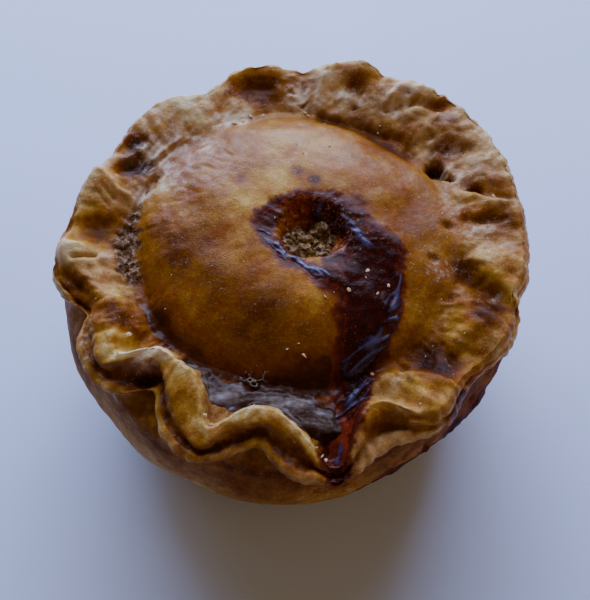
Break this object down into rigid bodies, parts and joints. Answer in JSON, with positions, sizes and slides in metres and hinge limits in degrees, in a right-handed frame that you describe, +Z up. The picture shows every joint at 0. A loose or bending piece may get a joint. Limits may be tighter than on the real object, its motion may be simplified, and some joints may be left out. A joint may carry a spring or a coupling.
{
  "type": "pork pie",
  "caption": "Small raised pork pie: bowed crust wall, thick crimped rim folded upright on one side, domed lid with a steam hole, a lump of set filling in the hole",
  "frame": {"origin": "centre of the flat foot the pie rests on", "axes": "+Z up through the lid; +X to the side pressed flat, +Y to the back, -Y to the low point of the rim where juice ran over"},
  "size_m": [0.0802, 0.0809, 0.0449],
  "materials": {
    "crust": "satin",
    "filling": "glossy"
  },
  "bodies": {
    "root": {"crust": "crust", "filling_plug": "filling"}
  },
  "joints": []
}
